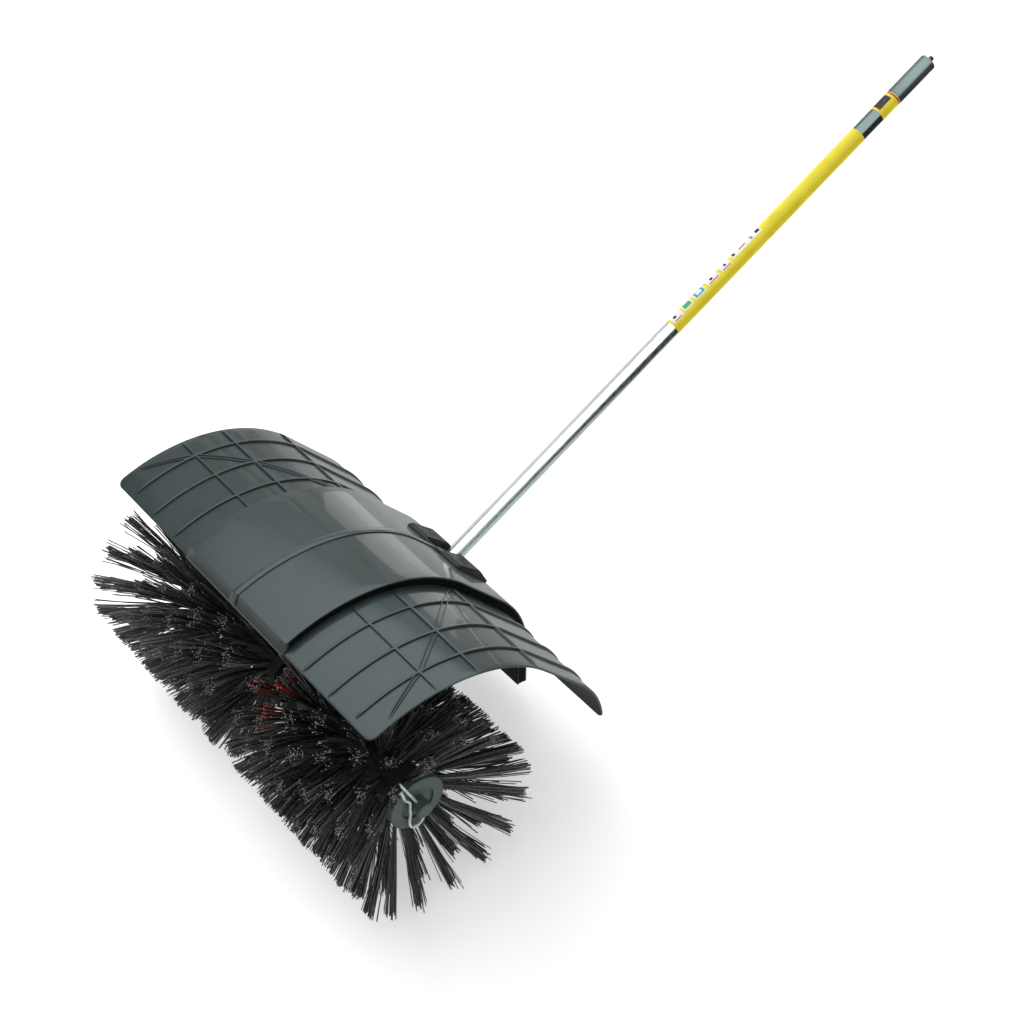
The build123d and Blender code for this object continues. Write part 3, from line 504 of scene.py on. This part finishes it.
def brushed(name, colour, low, high, stretch, turn=(0, 0, 0), grain=0.00002, darker_from=None):
    """Drawn or brushed metal: streaks along one way, light stains and fine scratches."""
    look = Look(name, colour, low, 1.0)
    streak = look.noise(90.0, 6.0, stretch, turn)
    stain = look.noise(14.0, 4.0)
    share = look.span(look.math("ADD", streak, stain), 0.0, 1.0, 0.7, 1.3)
    look.set("Base Color", look.mix(share, tint(colour, 0.8), tint(colour, 1.08)))
    look.set("Roughness", look.span(streak, low, high, 0.35, 0.65))
    look.set("Normal", look.bump(streak, grain, 0.7))
    # Past this distance along the tube, the drawn aluminium takes the darker SATIN colour.
    if darker_from is not None:
        past = look.span(tube_place(look)[0], 0.0, 1.0, darker_from * MM, (darker_from + 4) * MM)
        bright = look.shader.inputs["Base Color"].links[0].from_socket
        look.set("Base Color", look.mix(past, bright, SATIN))
    return look.mat


def cast(name, colour, rough):
    """Sand-cast metal with its pebbly skin and darker hollows."""
    look = Look(name, colour, rough, 0.85)
    share = look.vary(45.0, tint(colour, 0.62), tint(colour, 1.15), rough - 0.08, rough + 0.15)
    sand = look.bump(look.noise(900.0, 5.0), 0.00025, 0.9)
    look.set("Normal", look.bump(share, 0.0005, 0.4, sand))
    return look.mat


def plated(name, colour, low, high, metal=1.0):
    """Zinc or steel with a crystalline bloom and rubbed, brighter spots."""
    look = Look(name, colour, low, metal)
    look.vary(150.0, tint(colour, 0.7), tint(colour, 1.12), low, high)
    look.set("Normal", look.bump(look.noise(700.0, 4.0), 0.00006, 0.8))
    return look.mat


def rubber(name, colour, shine=0.35):
    look = Look(name, colour, 0.75, Specular_IOR_Level=shine)
    look.vary(70.0, tint(colour, 0.7), tint(colour, 1.5), 0.62, 0.88)
    look.set("Normal", look.bump(look.noise(1100.0, 3.0), 0.00012, 0.7))
    return look.mat


def bristle(name, dark, pale, rough, root_shade=None):
    """Extruded filament: each rod has its own tone, with a streaked and slightly waxy skin.

    A painted shade colour covers it from the core to a little short of its tip, for the dark inside of the
    brush.
    """
    look = Look(name, dark, rough, Specular_IOR_Level=0.55)
    tone = look.add("ShaderNodeAttribute", {}, attribute_name="tone").outputs["Fac"]
    streak = look.noise(260.0, 3.0)
    share = look.math("MULTIPLY", tone, look.span(streak, 0.5, 1.2, 0.3, 0.7))
    shade = look.mix(share, dark, pale)
    if root_shade:
        coords = look.add("ShaderNodeTexCoord", {}).outputs["Object"]
        parts = look.add("ShaderNodeSeparateXYZ", {0: coords}).outputs
        back, up = look.math("SUBTRACT", parts[1], AXLE.y), look.math("SUBTRACT", parts[2], AXLE.z)
        squares = look.math("ADD", look.math("MULTIPLY", back, back), look.math("MULTIPLY", up, up))
        # Painted shade: the rod is near black from the core out to a little short of its tip.
        shade = look.mix(look.span(look.math("SQRT", squares), 0.0, 1.0, 0.104, 0.128), root_shade, shade)
    look.set("Base Color", shade)
    look.set("Roughness", look.span(streak, rough - 0.06, rough + 0.16, 0.3, 0.7))
    look.set("Normal", look.bump(look.noise(900.0, 2.0), 0.00008, 0.6))
    return look.mat


def cut_end(name, colour):
    """The sheared end of a filament, paler and matt: partly its own cut face, partly a painted highlight for
    the glints on the tips.
    """
    look = Look(name, colour, 0.6)
    look.vary(500.0, tint(colour, 0.35), tint(colour, 1.5), 0.5, 0.75)
    look.set("Normal", look.bump(look.noise(2500.0, 2.0), 0.0001, 0.8))
    return look.mat


def tube_place(look):
    """Distance along the tube from the worm, height above its middle, and X: three outputs."""
    coords = look.add("ShaderNodeTexCoord", {}).outputs["Object"]
    near = look.add("ShaderNodeVectorMath", {0: coords, 1: tuple(WORM)}, operation="SUBTRACT").outputs[0]
    ways = (TUBE_AXIS, TUBE_UP, Vector((1, 0, 0)))
    dots = [look.add("ShaderNodeVectorMath", {0: near, 1: tuple(w)}, operation="DOT_PRODUCT") for w in ways]
    return [dot.outputs["Value"] for dot in dots]


def foil(name, patches, ground):
    """A printed wrap on the tube: flat colour blocks placed by distance and turn, under a gloss."""
    look = Look(name, ground, 0.32, Specular_IOR_Level=0.35, Coat_Weight=0.12, Coat_Roughness=0.15)
    along, up, across = tube_place(look)
    turn = look.math("ARCTAN2", across, up)
    cloud = look.noise(30.0, 5.0)
    shade = look.mix(look.span(cloud, 0.0, 1.0, 0.3, 0.7), tint(ground, 0.88), tint(ground, 1.06))
    for start, end, first, last, colour in patches:
        in_length = look.math("COMPARE", along, (start + end) / 2 * MM, (end - start) / 2 * MM)
        in_turn = look.math("COMPARE", turn, radians(first + last) / 2, radians(last - first) / 2)
        shade = look.mix(look.math("MULTIPLY", in_length, in_turn), shade, colour)
    rub = look.span(look.noise(70.0, 6.0, (9, 1, 9), TUBE_TURN), 0.0, 0.35, 0.60, 0.8)
    look.set("Base Color", look.mix(rub, shade, (0.62, 0.60, 0.48)))
    look.set("Roughness", look.span(cloud, 0.26, 0.42, 0.3, 0.7))
    look.set("Normal", look.bump(look.noise(500.0, 3.0), 0.00003, 0.6))
    return look.mat


TUBE_TURN = (-TUBE_PITCH, 0, 0)      # turns object coordinates so that Y runs along the tube
TUBE_STREAKS = (22, 1, 22)
YELLOW = (1.0, 0.79, 0.010)
BLACK = (0.012, 0.012, 0.012)
CREAM = (0.92, 0.92, 0.88)
RED = (0.55, 0.02, 0.02)
SATIN = (0.19, 0.225, 0.225)
SKY = (0.06, 0.38, 0.50)
LEAF = (0.06, 0.42, 0.20)
# Plain colour blocks: start and end along the tube in mm, first and last turn in degrees, colour.
main_blocks = [
    (757, 778, -75, 30, CREAM), (782, 800, -75, 22, CREAM), (806, 828, -75, 24, CREAM),
    (834, 858, -75, 20, CREAM), (864, 884, -75, 22, CREAM), (890, 952, -75, 12, CREAM),
    (760, 774, 18, 25, RED), (762, 767, -18, 4, BLACK),
    (784, 798, -30, 12, LEAF),
    (808, 826, -36, 16, SKY), (812, 822, -26, 4, CREAM),
    (836, 856, 8, 15, RED), (842, 847, -22, 0, BLACK),
    (866, 882, 10, 17, RED), (872, 876, -22, 0, BLACK),
    (892, 897, -34, -4, BLACK), (906, 920, -20, -8, RED), (930, 934, -30, 4, SKY), (942, 950, -34, -2, BLACK),
]
end_blocks = [(1210, 1236, -80, 26, BLACK), (1240.5, 1243, -181, 181, RED)]

mats = {
    "deflector_black": moulded("deflector_plastic", (0.020, 0.032, 0.032), 0.36, 0.46, 0.00003, 0.5),
    "bracket_black": ribbed("bracket_plastic", (0.010, 0.010, 0.010)),
    "tube_aluminium": brushed(
        "drawn_aluminium", (0.86, 0.87, 0.86), 0.16, 0.30, TUBE_STREAKS, TUBE_TURN, darker_from=1150,
    ),
    "cast_housing": cast("cast_aluminium", (0.075, 0.078, 0.080), 0.5),
    "bearing_steel": brushed("ground_steel", (0.62, 0.62, 0.63), 0.14, 0.28, (14, 1, 1)),
    "seal_rubber": rubber("seal_rubber", (0.022, 0.021, 0.020)),
    "bush_plastic": moulded("bush_plastic", (0.62, 0.61, 0.56), 0.45, 0.6),
    "painted_steel": moulded("painted_steel", (0.020, 0.020, 0.021), 0.3, 0.48, 0.0001),
    "wheel_bronze": brushed("cut_bronze", (0.62, 0.40, 0.17), 0.22, 0.4, (10, 1, 1)),
    "plain_steel": brushed("turned_steel", (0.50, 0.50, 0.51), 0.22, 0.38, (1, 16, 16)),
    "axle_steel": moulded("axle_phosphate", (0.085, 0.108, 0.096), 0.40, 0.55, 0.0001),
    "sleeve_steel": brushed("sleeve_satin", SATIN, 0.26, 0.40, TUBE_STREAKS, TUBE_TURN),
    "black_fastener": moulded("black_oxide", (0.016, 0.016, 0.016), 0.35, 0.5, 0.0001),
    "core_black": moulded("core_plastic", (0.016, 0.015, 0.014), 0.42, 0.6, 0.0001),
    "disc_grey": moulded("disc_plastic", (0.085, 0.110, 0.098), 0.42, 0.58, 0.0001),
    "zinc_wire": plated("zinc_wire", (0.86, 0.88, 0.87), 0.28, 0.42, 0.55),
    "zinc_fastener": plated("zinc_fastener", (0.60, 0.61, 0.60), 0.24, 0.44),
    "label_main": foil("printed_wrap", main_blocks, YELLOW),
    "label_end": foil("printed_band", end_blocks, YELLOW),
    "bristle_black": bristle("bristle_filament", (0.014, 0.0145, 0.0135), (0.26, 0.27, 0.255), 0.30),
}
# Pale cut ends: partly the cut face, partly a painted highlight for the glints on the bristle tips.
bristle_cut = cut_end("bristle_cut", (0.34, 0.34, 0.33))
# The red marker rods are painted near black from the core outwards: a painted shade for the inside of the
# brush.
mats["bristle_red"] = bristle(
    "marker_filament", (0.55, 0.018, 0.012), (1.0, 0.10, 0.06), 0.34, root_shade=(0.016, 0.012, 0.011)
)
# Pale red cut ends: partly the cut face, partly a painted highlight for the glints on the tips.
red_cut = cut_end("marker_cut", (0.80, 0.20, 0.15))

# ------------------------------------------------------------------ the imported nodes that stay
OWN_FINISH = {"tube_label_main": "label_main", "tube_label_end": "label_end", "drive_shaft": "black_fastener"}
for part in frame["record"]["subparts"]:
    name = part["node"]
    mesh = nodes[name].data
    mesh.materials.clear()
    mesh.materials.append(mats[OWN_FINISH.get(name, part["material_slot"])])

# ------------------------------------------------------------------ deflector halves
# A near-black painted shade for the hump's step wall and its inner faces, built with the rubber finish.
step_shade_look = rubber("step_painted_shade", (0.004, 0.004, 0.004), 0.1)
# Darker, browner and matt than the outside: a painted shade for the wing's underside.
underside_shade_look = moulded("deflector_underside_shade", (0.021, 0.0195, 0.017), 0.62, 0.78, 0.00005)
for side, side_name in ((-1, "left"), (1, "right")):
    build_deflector(side, side_name, [mats["deflector_black"], step_shade_look, underside_shade_look])

# ------------------------------------------------------------------ bristles
ROWS = 8
PLACES = 16
CORE_RADIUS = 34.0
BRUSH_RADIUS = 150.0
ROOT_FIRST, ROOT_LAST = 52.0, 240.0
TIP_FIRST, TIP_LAST = 32.0, 318.0
TUFT_TURN = radians(5.0)
RED_PLACES = ((0, 14), (1, 13), (1, 14))
ROD_STEPS = (0.0, 0.35, 0.7, 1.0)
ROD_SIDES = 5
RODS = 40
SPLAY = 9.6                          # how far a tuft's rods spread at their tips, and less in the end rows
SPLAY_END = {-1: 8.8, 1: 6.4}
LEFT_LEAN = 9.0                      # the left half's end rows lean out this much more
MARKER_SHARE = 5                     # one rod in this many of a marker tuft is red


def tuft_rods(rng, side, row, place, count):
    """Root, bow, tip and size of each rod in one tuft, in millimetres about the axle."""
    share = row / (ROWS - 1)
    root_x = ROOT_FIRST + (ROOT_LAST - ROOT_FIRST) * share
    tip_x = TIP_FIRST + (TIP_LAST - TIP_FIRST) * share
    if side < 0:
        tip_x += LEFT_LEAN * share**3
    angle = (place + 0.5 * (row % 2)) * 2 * pi / PLACES + TUFT_TURN
    out = Vector((0, sin(angle), cos(angle)))
    round_way = Vector((0, cos(angle), -sin(angle)))
    across = Vector((1, 0, 0))
    root = across * side * root_x + out * (CORE_RADIUS - 1.5)
    tip_x += rng.gauss(0, 2.2)
    tip = across * side * tip_x + out * BRUSH_RADIUS + round_way * rng.gauss(0, 2.6)
    sag = round_way * rng.gauss(0, 1.8) + across * rng.gauss(0, 1.8)
    splay = SPLAY if row < ROWS - 2 else SPLAY_END[side]
    rods = []
    for _ in range(count):
        spin = rng.uniform(0, 2 * pi)
        spread = min(22.0, abs(rng.gauss(0, 1)) * splay + rng.uniform(0, 3.6))
        start = root + (across * cos(spin) + round_way * sin(spin)) * rng.uniform(0.2, 2.3)
        spin += rng.gauss(0, 0.5)
        end = tip + across * cos(spin) * spread + round_way * sin(spin) * spread
        end.x = side * max(23.0, abs(end.x))
        reach = BRUSH_RADIUS + rng.uniform(-5.5, 1.2)
        scale = reach / sqrt(end.y**2 + end.z**2)
        end = Vector((start.x + (end.x - start.x) * min(1.0, scale), end.y * scale, end.z * scale))
        bow = sag + round_way * rng.gauss(0, 1.6) + across * rng.gauss(0, 1.6)
        rods.append((start, bow, end, rng.uniform(0.60, 0.92), rng.random() ** 2))
    return rods


def brush(name, rods, looks, replaced):
    """One mesh of closed, slightly bowed rods."""
    points, faces, face_mats, tones = [], [], [], []
    ring = [(cos(2 * pi * i / ROD_SIDES), sin(2 * pi * i / ROD_SIDES)) for i in range(ROD_SIDES)]
    for start, bow, end, radius, tone in rods:
        way = (end - start).normalized()
        u = way.orthogonal().normalized()
        v = way.cross(u)
        first = len(points)
        for step in ROD_STEPS:
            middle = start.lerp(end, step) + bow * (4 * step * (1 - step))
            for a, b in ring:
                points.append(tuple(AXLE + (middle + (u * a + v * b) * radius) * MM))
            tones += [tone] * ROD_SIDES
        for k in range(len(ROD_STEPS) - 1):
            for i in range(ROD_SIDES):
                j = (i + 1) % ROD_SIDES
                low = first + k * ROD_SIDES
                faces.append((low + i, low + j, low + ROD_SIDES + j, low + ROD_SIDES + i))
                face_mats.append(0)
        faces.append(tuple(first + i for i in reversed(range(ROD_SIDES))))
        faces.append(tuple(first + (len(ROD_STEPS) - 1) * ROD_SIDES + i for i in range(ROD_SIDES)))
        face_mats += [0, 1]
    mesh = bpy.data.meshes.new(name)
    mesh.from_pydata(points, [], faces)
    for look in looks:
        mesh.materials.append(look)
    mesh.polygons.foreach_set("material_index", face_mats)
    mesh.polygons.foreach_set("use_smooth", [True] * len(faces))
    mesh.attributes.new("tone", "FLOAT", "POINT").data.foreach_set("value", tones)
    mesh.set_sharp_from_angle(angle=radians(62))
    obj = bpy.data.objects.new(name, mesh)
    bpy.context.scene.collection.objects.link(obj)
    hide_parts(*replaced)
    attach(obj, "drum")


rng = Random(4127)
red_rods = []
for side, side_name in ((-1, "left"), (1, "right")):
    for part, rows in (("inner", range(ROWS // 2)), ("outer", range(ROWS // 2, ROWS))):
        black_rods = []
        for row in rows:
            for place in range(PLACES):
                rods = tuft_rods(rng, side, row, place, RODS)
                if side > 0 and (row, place) in RED_PLACES:
                    red_rods += rods[::MARKER_SHARE]
                    rods = [rod for i, rod in enumerate(rods) if i % MARKER_SHARE]
                black_rods += rods
        brush(
            f"bristles_{side_name}_{part}", black_rods, [mats["bristle_black"], bristle_cut],
            [f"bristles_{side_name}", f"contact_tufts_{side_name}"],
        )
brush("marker_bristles", red_rods, [mats["bristle_red"], red_cut], ["red_tufts"])

# ------------------------------------------------------------------ floor, light and camera
def plane(name, size, place, turn=(0, 0, 0)):
    bm = bmesh.new()
    bmesh.ops.create_grid(bm, x_segments=1, y_segments=1, size=0.5)
    mesh = bpy.data.meshes.new(name)
    bm.to_mesh(mesh)
    bm.free()
    obj = bpy.data.objects.new(name, mesh)
    obj.scale = (size[0], size[1], 1)
    obj.location = place
    obj.rotation_euler = turn
    bpy.context.scene.collection.objects.link(obj)
    return obj


floor_z = cad_low.z - 0.0004
floor = plane("floor", (16, 16), (0, 0, floor_z))
floor_look = Look(
    "floor_paper", (0.97, 0.97, 0.98), 0.9,
    Specular_IOR_Level=0.1, Emission_Color=(1, 1, 1, 1), Emission_Strength=0.46,
)
floor.data.materials.append(floor_look.mat)


def card(name, shade, size, place, turn=(0, 0, 0), fade=0.02, colour=(0.97, 1.0, 1.0)):
    """A studio card that only shows in reflections, fading out towards its edges."""
    obj = plane(name, size, place, turn)
    look = Look(name, (0, 0, 0), 1.0, Specular_IOR_Level=0.0)
    look.set("Emission Color", (*colour, 1))
    coords = look.add("ShaderNodeTexCoord", {}).outputs["Generated"]
    parts = look.add("ShaderNodeSeparateXYZ", {0: coords}).outputs
    strength = shade
    for part in parts[:2]:
        edge = look.math("SUBTRACT", 0.5, look.math("ABSOLUTE", look.math("SUBTRACT", part, 0.5)))
        strength = look.math("MULTIPLY", strength, look.span(edge, 0.0, 1.0, 0.0, fade))
    look.set("Emission Strength", strength)
    obj.data.materials.append(look.mat)
    obj.visible_camera = False
    obj.visible_diffuse = False
    obj.visible_shadow = False


GREEN = (0.80, 1.0, 0.95)
UPRIGHT = (0, radians(90), 0)
side_z = floor_z + 0.98
card("card_grey", 0.72, (8, 8), (0, 0, floor_z + 0.002))
card("card_pale", 0.58, (1.5, 1.4), (0.95, -0.95, floor_z + 0.005), colour=GREEN)
card("card_dark", 0.03, (2.6, 2.6), (1.60, 0.95, floor_z + 0.004))
card("card_side", 0.03, (2.0, 2.4), (2.80, 0.45, side_z), UPRIGHT)
card("card_side_pale", 0.60, (2.0, 1.6), (2.80, -1.55, side_z), UPRIGHT, 0.15, GREEN)
card("card_side_left", 0.86, (2.7, 4.0), (-3.2, 0.2, floor_z + 1.35), UPRIGHT)
card("card_shade", 0.02, (1.5, 1.6), AXLE + Vector((-1.95, -0.95, 1.30)))
card("card_left", 0.80, (2.6, 2.6), (-2.9, 1.1, floor_z + 0.004))
card("card_top", 1.9, (2.8, 3.0), AXLE + Vector((0.30, 0.60, 1.30)), fade=0.11, colour=(0.90, 1.0, 1.0))
card("card_back", 0.80, (0.8, 0.7), AXLE + Vector((-1.25, 1.10, 0.75)), (radians(60), 0, radians(40)), 0.3)


def softbox(name, place, target, size, radiance, glossy=False):
    """A soft area light that faces its target; only a glossy one shows in reflections."""
    light = bpy.data.lights.new(name, "AREA")
    light.shape = "RECTANGLE"
    light.size, light.size_y = size
    light.energy = radiance * pi * size[0] * size[1]
    obj = bpy.data.objects.new(name, light)
    obj.location = place
    obj.rotation_euler = (Vector(target) - Vector(place)).to_track_quat("-Z", "Y").to_euler()
    obj.visible_camera = False
    obj.visible_glossy = glossy
    bpy.context.scene.collection.objects.link(obj)


middle = AXLE + Vector((0, 0.25, 0.1))
softbox("overhead", middle + Vector((-0.9, -0.7, 2.3)), middle, (3.0, 3.0), 1.6)
softbox("back_left", middle + Vector((-2.1, 1.0, 1.25)), middle, (2.6, 2.0), 1.5)
hump_spot = surface(0, ARC_RADIUS * radians(28), HUMP_RISE)
window = hump_spot + Vector((-0.554, 0.832, 0.02)) * 1.25
softbox("window", window, hump_spot, (0.38, 0.60), 1.4, True)

world = bpy.data.worlds.new("studio")
bpy.context.scene.world = world
world.use_nodes = True
world.node_tree.nodes["Background"].inputs["Color"].default_value = (0.97, 0.98, 1.0, 1)
world.node_tree.nodes["Background"].inputs["Strength"].default_value = 0.36

bm = bmesh.new()
bmesh.ops.create_cone(bm, segments=96, radius1=8, radius2=8, depth=16)
wall_mesh = bpy.data.meshes.new("backdrop")
bm.to_mesh(wall_mesh)
bm.free()
backdrop = bpy.data.objects.new("backdrop", wall_mesh)
bpy.context.scene.collection.objects.link(backdrop)
backdrop_look = Look(
    "backdrop_paper", (0, 0, 0), 1.0,
    Specular_IOR_Level=0.0, Emission_Color=(1, 1, 1, 1), Emission_Strength=0.88,
)
wall_mesh.materials.append(backdrop_look.mat)
backdrop.visible_diffuse = False
backdrop.visible_glossy = False
backdrop.visible_shadow = False

AZIMUTH, ELEVATION = radians(50.49), radians(44.07)
back = Vector((sin(AZIMUTH) * cos(ELEVATION), -cos(AZIMUTH) * cos(ELEVATION), sin(ELEVATION)))
right = Vector((cos(AZIMUTH), sin(AZIMUTH), 0))
up = back.cross(right)
camera_data = bpy.data.cameras.new("camera")
camera_data.lens = 62.13
camera_data.sensor_width = 36.0
camera_data.clip_end = 50.0
camera = bpy.data.objects.new("camera", camera_data)
camera.matrix_world = Matrix((
    (right.x, up.x, back.x, AXLE.x + 1.4504),
    (right.y, up.y, back.y, AXLE.y - 0.8142),
    (right.z, up.z, back.z, AXLE.z + 1.9318),
    (0, 0, 0, 1),
))
bpy.context.scene.collection.objects.link(camera)
bpy.context.scene.camera = camera
bpy.context.scene.view_settings.view_transform = "Standard"
